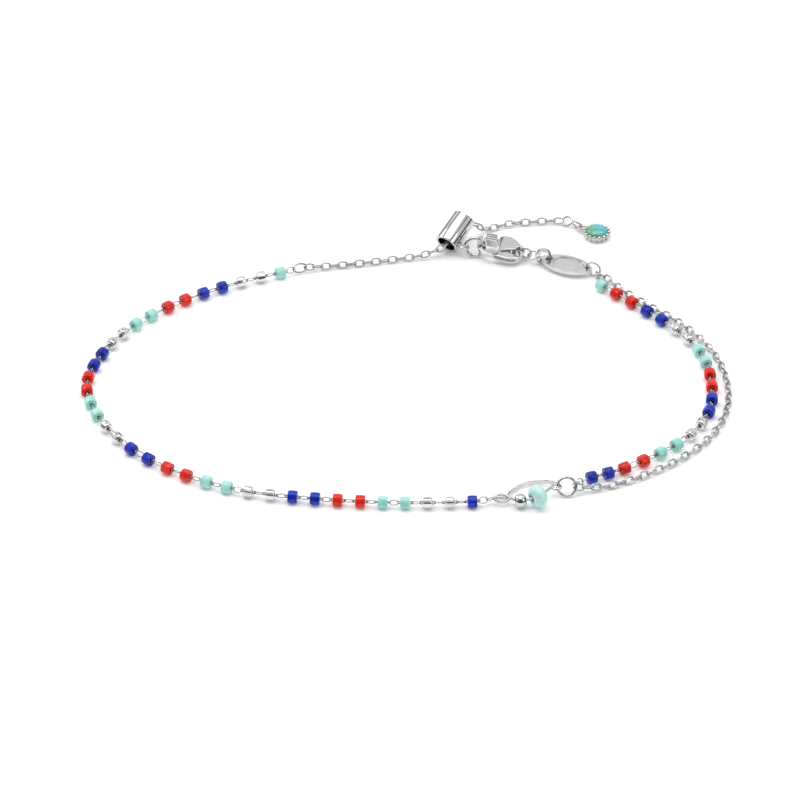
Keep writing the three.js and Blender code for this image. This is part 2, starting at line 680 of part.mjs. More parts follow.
function stoneBead() {
  const [half, drill] = [stoneLength / 2, stoneDrill / 2];
  const [table, girdle] = [stoneTable / 2, stoneGirdle / 2];
  const radius = stoneDiameter / 2;
  return toSolid(turned([
    [-half, drill], [-half, table], [-girdle, radius], [girdle, radius], [half, table], [half, drill],
    [-half, drill],
  ], beadSides));
}
addPiece('turquoise_stone', stoneBead(), stoneFinish, framed(stone, stoneAlong));

// Tail charm: two rings and a domed stone in a crown setting
const tailAlong = vec(headings.tailRing);
const tailRing = vec(places.tailRing).setZ(lyingHeight(tailRingDiameter, tailRingWire, tailRingLean));
addRing('tail_ring', tailRingDiameter, tailRingWire,
  framed(tailRing, tailAlong, leaning(tailAlong, tailRingLean)));

const charmAlong = vec(headings.charmEye);
const charmFrame = framed(vec(places.charm), charmAlong);
const charmRadius = charmDiameter / 2;
const charmEyeX = charmRadius + middle(charmEyeDiameter, smallRingWire);

function charmSetting() {
  const outline = new THREE.Shape();
  const turns = 2 * crownPoints;
  for (let i = 0; i < turns; i += 1) {
    const reach = charmRadius - (i % 2 ? 0 : crownNotch);
    const angle = (2 * Math.PI * i) / turns;
    outline[i ? 'lineTo' : 'moveTo'](reach * Math.cos(angle), reach * Math.sin(angle));
  }
  const crown = plate(outline, charmHeight, 1).translate(0, 0, charmHeight / 2);
  const wellDiameter = cabochonDiameter + 2 * settingClearance;
  const well = rod(wellDiameter, charmHeight, roundSides).translate(0, 0, settingFloor + charmHeight / 2);
  const eye = ringShape(charmEyeDiameter, smallRingWire)
    .translate(charmEyeX - charmEyeSeat, 0, charmEyeHeight);
  return toSolid(crown).subtract(toSolid(well)).add(toSolid(eye));
}
addPiece('charm_setting', charmSetting(), silver, charmFrame);

function cabochon() {
  const radius = cabochonDiameter / 2;
  const low = settingFloor + settingClearance;
  const bands = 4;
  const profile = [[low, 0], [low, radius]];
  for (let i = 0; i < bands; i += 1) {
    const angle = ((Math.PI / 2) * i) / bands;
    profile.push([cabochonRim + cabochonDome * Math.sin(angle), radius * Math.cos(angle)]);
  }
  profile.push([cabochonRim + cabochonDome, 0]);
  return toSolid(turned(profile, roundSides).rotateY(-Math.PI / 2));
}
addPiece('charm_stone', cabochon(), cabochonFinish, charmFrame);

const charmRing = new THREE.Vector3(charmEyeX + middle(charmRingDiameter, smallRingWire) - ringPlay, 0, 0)
  .applyMatrix4(charmFrame)
  .setZ(lyingHeight(charmRingDiameter, smallRingWire, charmRingLean));
addRing('charm_ring', charmRingDiameter, smallRingWire,
  framed(charmRing, charmAlong, leaning(charmAlong, charmRingLean)));

// The origin is the middle of the footprint, on the surface that the anklet lies on
anklet.updateMatrixWorld(true);
const extent = new THREE.Box3().setFromObject(anklet, true);
const footprint = extent.getCenter(new THREE.Vector3()).setZ(extent.min.z);
anklet.children.forEach((piece) => piece.position.sub(footprint));

export default anklet;
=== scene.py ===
import math
import random

import bmesh
import bpy
from mathutils import Matrix, Vector


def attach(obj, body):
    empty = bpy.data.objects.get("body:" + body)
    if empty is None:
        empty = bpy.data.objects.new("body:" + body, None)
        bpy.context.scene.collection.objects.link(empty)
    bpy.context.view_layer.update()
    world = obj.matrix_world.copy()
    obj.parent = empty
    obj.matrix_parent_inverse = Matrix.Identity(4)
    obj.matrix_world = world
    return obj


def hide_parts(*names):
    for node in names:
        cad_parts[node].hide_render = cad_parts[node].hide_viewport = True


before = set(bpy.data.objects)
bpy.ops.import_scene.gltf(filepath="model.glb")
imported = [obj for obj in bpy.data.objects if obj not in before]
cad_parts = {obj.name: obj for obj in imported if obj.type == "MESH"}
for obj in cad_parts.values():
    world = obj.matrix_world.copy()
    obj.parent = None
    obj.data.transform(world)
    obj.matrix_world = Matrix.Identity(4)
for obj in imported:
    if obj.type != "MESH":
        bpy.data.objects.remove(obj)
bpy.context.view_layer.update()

rand = random.Random(11)
mm = 0.001
shift = Vector((-0.8449, -8.9765, 0.0466))  # from the photograph's middle to the footprint's, mm
up = Vector((0, 0, 1))
inPlace = Matrix.Identity(4)


# Materials
def linear(hexColour):
    values = [int(hexColour[i:i + 2], 16) / 255 for i in (1, 3, 5)]
    return (*[v / 12.92 if v <= 0.04045 else ((v + 0.055) / 1.055) ** 2.4 for v in values], 1.0)


def addNode(tree, kind, settings=None, sockets=None, links=None):
    node = tree.nodes.new(kind)
    for key, value in (settings or {}).items():
        setattr(node, key, value)
    for key, value in (sockets or {}).items():
        node.inputs[key].default_value = value
    for key, source in (links or {}).items():
        tree.links.new(source, node.inputs[key])
    return node


def perMm(size):
    return 1000 / size  # texture scale for a feature of this size in mm


def newMaterial(name, surface):
    material = bpy.data.materials.new(name)
    material.use_nodes = True
    tree = material.node_tree
    shader = tree.nodes["Principled BSDF"]
    for socket, value in surface.items():
        shader.inputs[socket].default_value = value
    spot = addNode(tree, "ShaderNodeTexCoord").outputs["Object"]
    return material, tree, shader, spot


# Each stop is a place on the ramp and a hex colour or a grey value
def setStops(ramp, stops):
    elements = ramp.color_ramp.elements
    while len(elements) < len(stops):
        elements.new(0.5)
    for element, (place, value) in zip(elements, stops):
        element.position = place
        element.color = linear(value) if isinstance(value, str) else (value, value, value, 1.0)
    return ramp.outputs["Color"]


# A cloudy pattern, `size` mm across, as a ramp's colours and as plain heights
def mottled(tree, spot, size, stops, detail=3.0):
    noise = addNode(tree, "ShaderNodeTexNoise", sockets={"Scale": perMm(size), "Detail": detail},
                    links={"Vector": spot})
    ramp = addNode(tree, "ShaderNodeValToRGB", links={"Fac": noise.outputs["Fac"]})
    return setStops(ramp, stops), noise.outputs["Fac"]


# Joins a colour and a fine grain to the shader: the grain sets its roughness and a low relief
def dress(tree, shader, spot, colour, grain):
    rough, height = mottled(tree, spot, grain["size"], grain["rough"], grain["detail"])
    tree.links.new(colour, shader.inputs["Base Color"])
    tree.links.new(rough, shader.inputs["Roughness"])
    bump = addNode(tree, "ShaderNodeBump", links={"Height": height},
                   sockets={"Strength": grain["strength"], "Distance": grain["depth"] * mm})
    tree.links.new(bump.outputs["Normal"], shader.inputs["Normal"])


# Rhodium-plated brass, polished: a cool white mirror, with faint waviness and fine handling marks
def platedBrass(name, light, dark, smooth):
    material, tree, shader, spot = newMaterial(name, {"Metallic": 1.0})
    colour, _ = mottled(tree, spot, 2.4, [(0.3, dark), (0.7, light)])
    dress(tree, shader, spot, colour, {"size": 0.35, "rough": [(0.25, smooth), (0.75, smooth + 0.07)],
                                       "detail": 5.0, "strength": 0.12, "depth": 0.004})
    return material


# Opaque pressed glass: even strong colour, a clear glossy skin and slight pits, a little light inside
def pressedGlass(name, stops):
    material, tree, shader, spot = newMaterial(name, {
        "IOR": 1.5, "Specular IOR Level": 0.2, "Coat Weight": 0.4, "Coat Roughness": 0.06,
        "Subsurface Weight": 0.03, "Subsurface Scale": 0.3 * mm})
    colour, _ = mottled(tree, spot, 1.1, stops)
    dress(tree, shader, spot, colour, {"size": 0.28, "rough": [(0.3, 0.16), (0.75, 0.34)],
                                       "detail": 4.0, "strength": 0.25, "depth": 0.012})
    return material


# Reconstituted turquoise, tumbled: pale blue-green with cloudy lilac-blue patches and a waxy gloss
def tumbledTurquoise(name):
    material, tree, shader, spot = newMaterial(name, {
        "IOR": 1.61, "Coat Weight": 0.25, "Coat Roughness": 0.12, "Subsurface Weight": 0.08,
        "Subsurface Scale": 0.4 * mm})
    colour, _ = mottled(tree, spot, 1.3, [(0.3, "#A6E8DF"), (0.5, "#C8F6F0"), (0.64, "#CDE2FA")], 4.0)
    dress(tree, shader, spot, colour, {"size": 0.3, "rough": [(0.3, 0.22), (0.75, 0.42)],
                                       "detail": 5.0, "strength": 0.3, "depth": 0.015})
    return material


# Polished cabochon: teal-blue in the middle, greener toward its rim, with a wet shine
def polishedCabochon(name, centre, radius):
    material, tree, shader, spot = newMaterial(name, {
        "IOR": 1.6, "Coat Weight": 0.7, "Coat Roughness": 0.03, "Subsurface Weight": 0.08,
        "Subsurface Scale": 0.4 * mm})
    reach = addNode(tree, "ShaderNodeVectorMath", {"operation": "DISTANCE"}, {1: centre * mm}, {0: spot})
    cloud = addNode(tree, "ShaderNodeTexNoise", sockets={"Scale": perMm(1.4), "Detail": 4.0},
                    links={"Vector": spot})
    part = addNode(tree, "ShaderNodeMath", {"operation": "MULTIPLY"}, {1: 0.5 / (radius * mm)},
                   {0: reach.outputs["Value"]})
    uneven = addNode(tree, "ShaderNodeMath", {"operation": "MULTIPLY_ADD"}, {1: 0.55},
                     {0: cloud.outputs["Fac"], 2: part.outputs["Value"]})
    ramp = addNode(tree, "ShaderNodeValToRGB", links={"Fac": uneven.outputs["Value"]})
    colour = setStops(ramp, [(0.3, "#55C3CB"), (0.6, "#4BB9BC"), (0.8, "#5BB795"), (1.0, "#57A672")])
    dress(tree, shader, spot, colour, {"size": 0.3, "rough": [(0.3, 0.1), (0.75, 0.2)],
                                       "detail": 4.0, "strength": 0.15, "depth": 0.01})
    return material


# Table of placings: middle of a piece in mm, its length direction and its normal
placings = {
    "centre_ring": ((20.6551, -29.6765, 1.3026), (1, 0, 0), (0, -0.8829, 0.4695)),
    "slider_barrel": ((6.8146, 27.3424, 2.5438), (0.5248, 0.7579, 0.3875), (-0.2206, -0.3186, 0.9219)),
    "slider_lug": ((7.984, 25.029, 1.613), (0.8472, -0.5092, -0.1515), (0, 0.2079, 0.9781)),
    "slider_ring": ((9.5303, 24.917, 1.567), (1, 0, 0), (0, -0.9781, 0.2079)),
    "clasp": ((9.733, 25.8127, 1.7894), (0.9683, -0.2342, -0.0872), (0.0426, -0.189, 0.9811)),
    "clasp_ring": ((16.4475, 24.0869, 1.1655), (0.9683, -0.2342, -0.0872), (0.2463, 0.9536, 0.173)),
    "bail_ring": ((17.7035, 23.6398, 1.1193), (0.9171, -0.3987, 0), (-0.0829, -0.1907, 0.9781)),
    "tag_band": ((19.0057, 23.0736, 1.2465), (0.3987, 0.9171, 0), (0, 0, 1)),
    "tag_plate": ((22.3376, 21.6248, 0.8265), (0.9171, -0.3987, 0), (0, 0, 1)),
    "tag_ring": ((25.8057, 20.1169, 1.1965), (0.9171, -0.3987, 0), (0.3987, 0.9171, 0)),
    "connector_link": ((-14.6741, 20.8404, 0.8465), (0.9226, 0.3858, 0), (0.2955, -0.7067, 0.6428)),
    "silver_ball": ((14.66, -32.2765, 0.9965), (0.9726, -0.0526, 0.2264), (-0.2261, 0.0122, 0.974)),
    "turquoise_stone": ((16.88, -32.0765, 1.5965), (0.8618, 0.5, 0.0851), (-0.0736, -0.0427, 0.9964)),
    "tail_ring": ((22.5551, 32.8235, 0.5748), (0.8, -0.6, 0), (-0.3355, -0.4474, 0.829)),
    "charm": ((26.6551, 29.8235, 0.0465), (-0.8486, 0.5291, 0), (0, 0, 1)),
    "charm_ring": ((23.9227, 31.5272, 0.895), (-0.8486, 0.5291, 0), (0.4628, 0.7422, 0.4848)),
}

# Castings and rings are sharp mirrors, links painted a little greyer as painted shade for the dark their thin
# wires reflect, beads paler and softer, the tag satin
silver = platedBrass("rhodiumPlatedBrassPolished", "#D8D8D6", "#C4C4C3", 0.06)
# Same plated brass with its colour darkened: painted shade on the thin wires of links and fine chains
silverWireShaded = platedBrass("rhodiumPlatedBrassWireShaded", "#CBCBC9", "#AEAEAD", 0.08)
silverCut = platedBrass("rhodiumPlatedBrassDrawn", "#E6E6E5", "#D6D6D5", 0.16)
silverWorn = platedBrass("rhodiumPlatedBrassTumbled", "#DADAD9", "#CACAC9", 0.17)
glasses = {
    "blue": pressedGlass("pressedGlassCobalt", [(0.3, "#02138A"), (0.7, "#0A36C8")]),
    "red": pressedGlass("pressedGlassOrangeRed", [(0.3, "#D0120C"), (0.7, "#F42C1A")]),
    "turquoise": pressedGlass("pressedGlassMint", [(0.3, "#98DED4"), (0.7, "#BAF0E8")]),
    "silver": silverCut,
}
print("materials ready")


# Shapes: lists of points in mm and faces, gathered and then made into one mesh
def newShape():
    return {"points": [], "faces": []}


def placed(origin, along, normal=up):
    x = Vector(along).normalized()
    y = Vector(normal).cross(x).normalized()
    z = x.cross(y)
    matrix = Matrix((x, y, z)).transposed().to_4x4()
    matrix.translation = Vector(origin)
    return matrix


def at(name):
    return placed(*placings[name])


def leaning(along, angle):
    return Matrix.Rotation(angle, 3, Vector(along).normalized()) @ up


def addRows(shape, rows, matrix, loop=False):
    start = len(shape["points"])
    sides = len(rows[0])
    for row in rows:
        shape["points"] += [matrix @ Vector(point) for point in row]
    count = len(rows)
    for i in range(count if loop else count - 1):
        here, there = start + i * sides, start + (i + 1) % count * sides
        for j in range(sides):
            k = (j + 1) % sides
            shape["faces"].append((here + j, here + k, there + k, there + j))
    if not loop:
        last = start + (count - 1) * sides
        shape["faces"].append(tuple(range(start + sides - 1, start - 1, -1)))
        shape["faces"].append(tuple(range(last, last + sides)))


# A round form about x, from pairs of distance along x and radius, with soft flats if asked
def addTurned(shape, profile, matrix, sides=40, loop=False, flats=(0, 0)):
    rows = []
    for along, radius in profile:
        row = []
        for j in range(sides):
            turn = 2 * math.pi * j / sides
            reach = radius * (1 + flats[1] * math.cos(flats[0] * turn))
            row.append((along, reach * math.cos(turn), reach * math.sin(turn)))
        rows.append(row)
    addRows(shape, rows, matrix, loop)


def roundSection(radius, sides=12):
    turns = [2 * math.pi * j / sides for j in range(sides)]
    return [(radius * math.cos(turn), radius * math.sin(turn)) for turn in turns]


# A section swept along points, held upright to `normal`
def addSwept(shape, points, section, matrix, loop=False, normal=up):
    points = [Vector(point) for point in points]
    count = len(points)
    rows = []
    for i, point in enumerate(points):
        before = points[(i - 1) % count] if loop or i > 0 else point
        after = points[(i + 1) % count] if loop or i < count - 1 else point
        tangent = (after - before).normalized()
        side = tangent.cross(normal).normalized()
        rise = side.cross(tangent)
        rows.append([point + side * x + rise * y for x, y in section])
    addRows(shape, rows, matrix, loop)


def ovalPath(length, width, wire, steps=28, gap=0.0):
    a, b = (length - wire) / 2, (width - wire) / 2
    turns = [gap + (2 * math.pi - 2 * gap) * i / (steps - 1 if gap else steps) for i in range(steps)]
    return [(a * math.cos(turn), b * math.sin(turn), 0) for turn in turns]


def addLink(shape, length, width, wire, matrix, steps=28, sides=12):
    addSwept(shape, ovalPath(length, width, wire, steps), roundSection(wire / 2, sides), matrix, True)


# A jump ring: its two sawn ends nearly meet
def addJumpRing(shape, diameter, wire, matrix, turn):
    cut = 0.02 / diameter  # half the gap, 0.01 mm, as an angle
    path = ovalPath(diameter, diameter, wire, 56, cut)
    addSwept(shape, path, roundSection(wire / 2, 16), matrix @ Matrix.Rotation(turn, 4, up))


def addBall(shape, radius, centre, steps=10, sides=16):
    profile = []
    for i in range(steps + 1):
        turn = math.pi * (0.03 + 0.94 * i / steps)
        profile.append((-radius * math.cos(turn), radius * math.sin(turn)))
    addTurned(shape, profile, Matrix.Translation(centre), sides)


def gathered(shape):
    work = bmesh.new()
    points = [work.verts.new(point) for point in shape["points"]]
    for face in shape["faces"]:
        work.faces.new([points[i] for i in face])
    return work


# `sharp` is the angle in degrees past which an edge stays crisp
def toMesh(name, shape, sharp):
    work = gathered(shape)
    bmesh.ops.recalc_face_normals(work, faces=work.faces)
    work.transform(Matrix.Scale(mm, 4))
    for face in work.faces:
        face.smooth = True
    mesh = bpy.data.meshes.new(name)
    work.to_mesh(mesh)
    work.free()
    mesh.set_sharp_from_angle(angle=math.radians(sharp))
    return mesh


def addObject(name, data):
    item = bpy.data.objects.new(name, data)
    bpy.context.scene.collection.objects.link(item)
    return item


def addModifier(item, kind, settings):
    modifier = item.modifiers.new(kind.lower(), kind)
    for key, value in settings.items():
        setattr(modifier, key, value)


def addPiece(name, mesh, material, nodes, body="anklet", sharp=40):
    if isinstance(mesh, dict):
        mesh = toMesh(name, mesh, sharp)
    mesh.materials.clear()
    mesh.materials.append(material)
    piece = addObject(name, mesh)
    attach(piece, body)
    if nodes:
        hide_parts(*nodes)
    return piece


# Smooth curve through given points, with its points spread evenly along its length
def smoothRoute(points, raised):
    points = [Vector(point).to_3d() + shift for point in points]
    return evenRoute([Vector((p.x, p.y, raised)) for p in points])


def evenRoute(points, samples=40):
    ends = [2 * points[0] - points[1]] + points + [2 * points[-1] - points[-2]]
    line = []
    for i in range(len(points) - 1):
        p = ends[i:i + 4]
        d = [max((p[j + 1] - p[j]).length ** 0.5, 1e-4) for j in range(3)]
        start = ((p[1] - p[0]) / d[0] - (p[2] - p[0]) / (d[0] + d[1]) + (p[2] - p[1]) / d[1]) * d[1]
        finish = ((p[2] - p[1]) / d[1] - (p[3] - p[1]) / (d[1] + d[2]) + (p[3] - p[2]) / d[2]) * d[1]
        for k in range(samples):
            t = k / samples
            line.append(p[1] + start * t + (3 * (p[2] - p[1]) - 2 * start - finish) * t ** 2
                        + (2 * (p[1] - p[2]) + start + finish) * t ** 3)
    line.append(points[-1])
    reach = [0.0]
    for before, after in zip(line, line[1:]):
        reach.append(reach[-1] + (after - before).length)
    return {"line": line, "reach": reach, "length": reach[-1]}


# The point and direction at a distance along a route
def along(route, distance):
    reach, line = route["reach"], route["line"]
    low, high = 0, len(reach) - 2
    while low < high:
        mid = (low + high + 1) // 2
        low, high = (mid, high) if reach[mid] <= distance else (low, mid - 1)
    part = (distance - reach[low]) / (reach[low + 1] - reach[low])
    return line[low].lerp(line[low + 1], part), (line[low + 1] - line[low]).normalized()


# Links in a row that hang in each other: each is turned a quarter from the one before
def addChain(shape, route, chain):
    wire = chain["wire"]
    overlap = 2 * wire + chain["play"]
    count = max(round((route["length"] - overlap) / chain["pitch"]), 1)
    pitch = (route["length"] - overlap) / count
    length = pitch + overlap
    for i in range(count):
        middle, heading = along(route, length / 2 + pitch * i)
        lean = chain["lean"] + (math.pi / 2 if i % 2 else 0) + rand.uniform(-1, 1) * chain["loose"]
        addLink(shape, length, chain["width"], wire, placed(middle, heading, leaning(heading, lean)),
                chain["steps"], chain["sides"])
    return count


# Beaded strands
bead = {
    "diameter": 1.6, "length": 1.25, "hole": 0.46, "bulge": 0.03,
    "mouth": (0.12, 0.09),  # how deep and how much wider the hole's funnel is
    "eye": 0.58, "eyeRound": 0.94, "eyeWire": 0.15,  # wire loop on each end
    "eyeStand": 0.19,  # from the face to the loop's middle
    "linkWidth": 0.88, "linkWire": 0.18, "linkInset": 0.12,  # from the face to the link's outer end
    "lean": math.radians(6), "loose": math.radians(40),
}
# Glass beads were cut from a tube with six faint flats; silver ones are a little smaller, with ten
glassBead = {"size": 1, "edge": 0.14, "flats": (6, 0.022), "sides": 42, "turn": 1}
silverBead = {"size": 0.93, "edge": 0.24, "flats": (10, 0.018), "sides": 60, "turn": 0.8}
shortChain = {"wire": 0.18, "play": 0.05, "pitch": 0.8, "width": 0.98, "lean": math.radians(40),
              "loose": math.radians(10), "steps": 26, "sides": 12}


def beadProfile(edge, steps=5):
    half, radius, hole = bead["length"] / 2, bead["diameter"] / 2, bead["hole"] / 2
    deep, wide = bead["mouth"]
    profile = [(-half + deep, hole), (-half, hole + wide)]
    for i in range(steps + 1):
        turn = math.pi / 2 * i / steps
        profile.append((-half + edge * (1 - math.cos(turn)), radius - edge + edge * math.sin(turn)))
    return profile + [(0.0, radius + bead["bulge"])] + [(-x, r) for x, r in reversed(profile)]


def addBead(shape, place, colour):
    kind = silverBead if colour == "silver" else glassBead
    profile = [(x, r * kind["size"]) for x, r in beadProfile(kind["edge"])]
    turned = place @ Matrix.Rotation(rand.uniform(0, kind["turn"]), 4, "X")
    addTurned(shape, profile, turned, kind["sides"], True, kind["flats"])


# The wire through a bead: a stem inside it and a loop outside its face
def addEye(wires, middle, heading, lean):
    centre = middle + heading * (bead["length"] / 2 + bead["eyeStand"])
    addLink(wires, bead["eye"], bead["eye"] * bead["eyeRound"], bead["eyeWire"],
            placed(centre, heading, leaning(heading, lean)), 24, 12)
    stem = [middle, middle + heading * (bead["length"] / 2)]
    addSwept(wires, stem, roundSection(bead["eyeWire"] / 2), inPlace, False, leaning(heading, lean))


# How far a bead has slid from an even row, in mm, from the few beads listed
def slipAt(slips, k):
    for (before, low), (after, high) in zip(slips, slips[1:]):
        if before <= k <= after:
            return low + (high - low) * (k - before) / (after - before)
    return 0.0


# Beads in pairs of colours from `first` to `last`, with eyes and links between them
def addStrand(strand, first, last):
    count, colours, slips = strand["count"], strand["colours"], strand["slips"]
    route = smoothRoute(strand["points"], bead["diameter"] / 2 + shift.z)
    pitch = route["length"] / (count - 1)
    wires = newShape()
    shapes = {colour: newShape() for colour in colours}
    spots = [along(route, min(pitch * k + slipAt(slips, k), route["length"] - 1e-6)) for k in range(count)]
    faceEnd = bead["length"] / 2 + bead["linkInset"]
    for k, (middle, heading) in enumerate(spots):
        colour = colours[(k + strand["start"]) // 2 % len(colours)]
        addBead(shapes[colour], placed(middle, heading), colour)
        back = (spots[k - 1][0] - middle).normalized() if k else (first - middle).normalized()
        on = (spots[k + 1][0] - middle).normalized() if k < count - 1 else (last - middle).normalized()
        lean = bead["lean"] + rand.uniform(-1, 1) * bead["loose"]
        if k < count - 1:
            gap = (spots[k + 1][0] - middle).length
            addLink(wires, max(gap - 2 * faceEnd, bead["linkWidth"]), bead["linkWidth"], bead["linkWire"],
                    placed(middle + on * gap / 2, on, leaning(on, lean)))
        addEye(wires, middle, on, lean + math.pi / 2)
        addEye(wires, middle, back, -lean + math.pi / 2)
    for end, (middle, _) in ((first, spots[0]), (last, spots[-1])):
        heading = (end - middle).normalized()
        addChain(wires, evenRoute([middle + heading * faceEnd, end], 20), shortChain)
    return shapes, wires


longStrand = {
    "points": [(-16.5, 28.7), (-22.0, 26.4), (-29.4, 22.1), (-35.6, 16.6), (-39.9, 9.7), (-41.7, 2.6),
               (-40.2, -3.8), (-35.3, -11.7), (-27.8, -17.6), (-19.7, -21.1), (-11.1, -22.6),
               (-2.3, -23.4), (4.0, -23.5), (9.3, -23.25)],
    "count": 36, "colours": ["turquoise", "silver", "blue", "red"], "start": 1,
    "slips": [(0, 0), (8, -0.15), (11, -0.75), (15, -0.95), (18, -0.85), (19, -0.7), (21, -0.1), (23, 0.05),
              (30, 0.15), (35, 0)],
}
shortStrand = {
    "points": [(24.8, -18.1), (29.0, -16.2), (34.0, -12.8), (38.2, -8.7), (40.8, -3.7), (41.5, 2.2),
               (40.8, 8.2), (38.9, 13.0), (35.6, 17.3), (31.4, 21.8), (27.7, 25.5)],
    "count": 21, "colours": ["blue", "red", "turquoise", "silver"], "start": 0,
    "slips": [(0, 0), (1, -0.42), (2, -0.85), (3, -0.68), (5, -0.55), (8, -0.3), (13, -0.2), (17, -0.05),
              (19, 0.1), (20, 0)],
}
connectorAt, connectorAlong, _ = [Vector(v) for v in placings["connector_link"]]
ringAt = Vector(placings["centre_ring"][0])
tagRingAt, tagAlong, _ = [Vector(v) for v in placings["tag_ring"]]
frameEye = Vector((12.2, -31.6, 0.9))  # middle of the centre frame's pointed eye, and the way it points
frameOn = Vector((1, 0.11, -0.09)).normalized()
tailRingAt = Vector(placings["tail_ring"][0])
hooks = {  # where the last link of each strand and chain ends, inside the ring or eye that holds it
    "longFirst": connectorAt - connectorAlong * 0.59,
    "longLast": frameEye - frameOn * 0.7,
    "shortFirst": ringAt + Vector((0.79, 0.3, 0.16)),
    "shortLast": tagRingAt + tagAlong * 0.62 + Vector((0, 0, -0.3)),
    "plainFirst": ringAt + Vector((0.79, 0, -0.1)),
    "plainLast": tagRingAt + tagAlong * 0.52 + Vector((0, 0, -0.4)),
    "adjusterFirst": connectorAt + connectorAlong * 0.53,
    "tailLast": tailRingAt + Vector((-0.33, 0.1, 0)),
}
nodeNames = sorted(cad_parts)
for name, strand, side, extra in (("long_strand", longStrand, "long", ["end_link_back"]),
                                  ("short_strand", shortStrand, "short", ["end_link_front"])):
    shapes, wires = addStrand(strand, hooks[f"{side}First"], hooks[f"{side}Last"])
    for colour, shape in shapes.items():
        nodes = [node for node in nodeNames if node.startswith(f"{name}_{colour}_")]
        addPiece(f"{name}_{colour}_beads", shape, glasses[colour], nodes, sharp=50)
    addPiece(f"{name}_links", wires, silverWireShaded, extra)
    print(name, "made")

# Fine chains
fineChain = {"wire": 0.26, "play": 0.03, "pitch": 1.16, "width": 1.12, "lean": math.radians(42),
             "loose": math.radians(7), "steps": 24, "sides": 10}
# Points of the chains on the floor, mm from the photograph's middle
plainPoints = [(26.6, -19.6, 0.5), (31.5, -17.3, 0.5), (36.6, -13.6, 0.5), (41.0, -8.4, 0.5),
               (43.4, -1.9, 0.5), (43.4, 5.2, 0.5), (41.6, 11.5, 0.5), (37.8, 17.3, 0.5),
               (33.2, 21.9, 0.5), (30.0, 25.6, 0.5), (28.5, 27.6, 0.6)]
adjusterPoints = [(-9.5, 30.8, 0.5), (-4.8, 31.6, 0.5), (0.0, 32.6, 0.5), (3.4, 33.3, 0.7)]
tailPoints = [(10.6, 39.1, 1.7), (12.0, 39.8, 0.6), (15.1, 41.2, 0.5), (18.4, 41.7, 0.5), (21.2, 42.0, 0.5)]
barrelAt, barrelAlong, _ = [Vector(v) for v in placings["slider_barrel"]]
barrelEnd = barrelAlong * 2.4  # from the barrel's middle to its end; the adjuster chain runs through it


def shifted(points):
    return [Vector(point) + shift for point in points]


plainLinks = newShape()
plainRoute = [hooks["plainFirst"], *shifted(plainPoints), hooks["plainLast"]]
links = addChain(plainLinks, evenRoute(plainRoute), fineChain)
addPiece("plain_chain_links", plainLinks, silverWireShaded, ["plain_chain"])

adjusterLinks = newShape()
adjusterRoute = [hooks["adjusterFirst"], *shifted(adjusterPoints), barrelAt - barrelEnd, barrelAt + barrelEnd,
                 *shifted(tailPoints), hooks["tailLast"]]
links += addChain(adjusterLinks, evenRoute(adjusterRoute), fineChain)
addPiece("adjuster_chain_links", adjusterLinks, silverWireShaded, ["adjuster_chain"])
print("fine chains made,", links, "links")

# Rings and the connector link
rings = {  # outer diameter, wire, and where the sawn ends lie, in turns
    "centre_ring": (2.8, 0.4, 0.2), "slider_ring": (3.1, 0.5, 0.62), "clasp_ring": (2.1, 0.33, 0.7),
    "bail_ring": (1.9, 0.32, 0.3), "tag_ring": (2.3, 0.28, 0.22), "tail_ring": (1.7, 0.3, 0.4),
    "charm_ring": (1.9, 0.36, 0.75),
}
for name, (diameter, wire, turn) in rings.items():
    ring = newShape()
    addJumpRing(ring, diameter, wire, at(name), turn * 2 * math.pi)
    addPiece(f"{name}_wire", ring, silver, [name])
connector = {"length": 2.2, "width": 1.5, "wire": 0.3}
connectorShape = newShape()
addLink(connectorShape, connector["length"], connector["width"], connector["wire"],
        at("connector_link"), 40, 16)
addPiece("connector_link_wire", connectorShape, silverWireShaded, ["connector_link"])

# Barrel
barrel = {"length": 4.8, "diameter": 3.4, "wall": 0.4, "edge": 0.09, "lug": 1.7, "lugWire": 0.32}


# A tube's wall with rounded edges, from outside to inside
def tubeProfile(half, outer, inner, edge, steps=4):
    corners = [(-half, outer, 1, -1), (half, outer, -1, -1), (half, inner, -1, 1), (-half, inner, 1, 1)]
    starts = [math.pi, math.pi / 2, 0, -math.pi / 2]
    profile = []
    for (x, r, sx, sr), start in zip(corners, starts):
        for i in range(steps + 1):
            turn = start - math.pi / 2 * i / steps
            profile.append((x + sx * edge + edge * math.cos(turn), r + sr * edge + edge * math.sin(turn)))
    return profile


barrelShape = newShape()
barrelRadius = barrel["diameter"] / 2
barrelTube = tubeProfile(barrel["length"] / 2, barrelRadius, barrelRadius - barrel["wall"], barrel["edge"])
addTurned(barrelShape, barrelTube, at("slider_barrel"), 72, True)
# Lug soldered to its side, hooked in the slider ring
addLink(barrelShape, barrel["lug"], barrel["lug"], barrel["lugWire"], at("slider_lug"), 40, 16)
addPiece("slider_barrel_tube", barrelShape, silver, ["slider_barrel"], sharp=35)

# Wide band ring on the tag
band = {"half": 0.4, "outer": 1.19, "inner": 0.93, "edge": 0.08, "turn": math.radians(22)}
bandShape = newShape()
bandPlace = at("tag_band") @ Matrix.Rotation(band["turn"], 4, "Z")
bandTube = tubeProfile(band["half"], band["outer"], band["inner"], band["edge"])
addTurned(bandShape, bandTube, bandPlace, 64, True)
addPiece("tag_band_ring", bandShape, silver, ["tag_band"], sharp=35)
print("rings and barrel made")


# Clasp: flat outlines (x from nose to tail, y across) made into plates, then cast as one
clasp = {"thick": 1.15, "slot": 0.65, "eyeAt": (6.15, -0.1), "eye": 0.85, "eyeHalf": 0.42, "bore": 0.4,
         "groove": (-0.06, 0.34), "slit": -0.44, "taper": (2.5, 1.2, 0.58), "grain": 0.045, "rounds": 8}
lever = {"armHalf": 0.23, "thumbHalf": 0.26, "ribHalf": 0.64, "grain": 0.036, "rounds": 2}
through = 2  # mm, past every plate, for holes that go right through
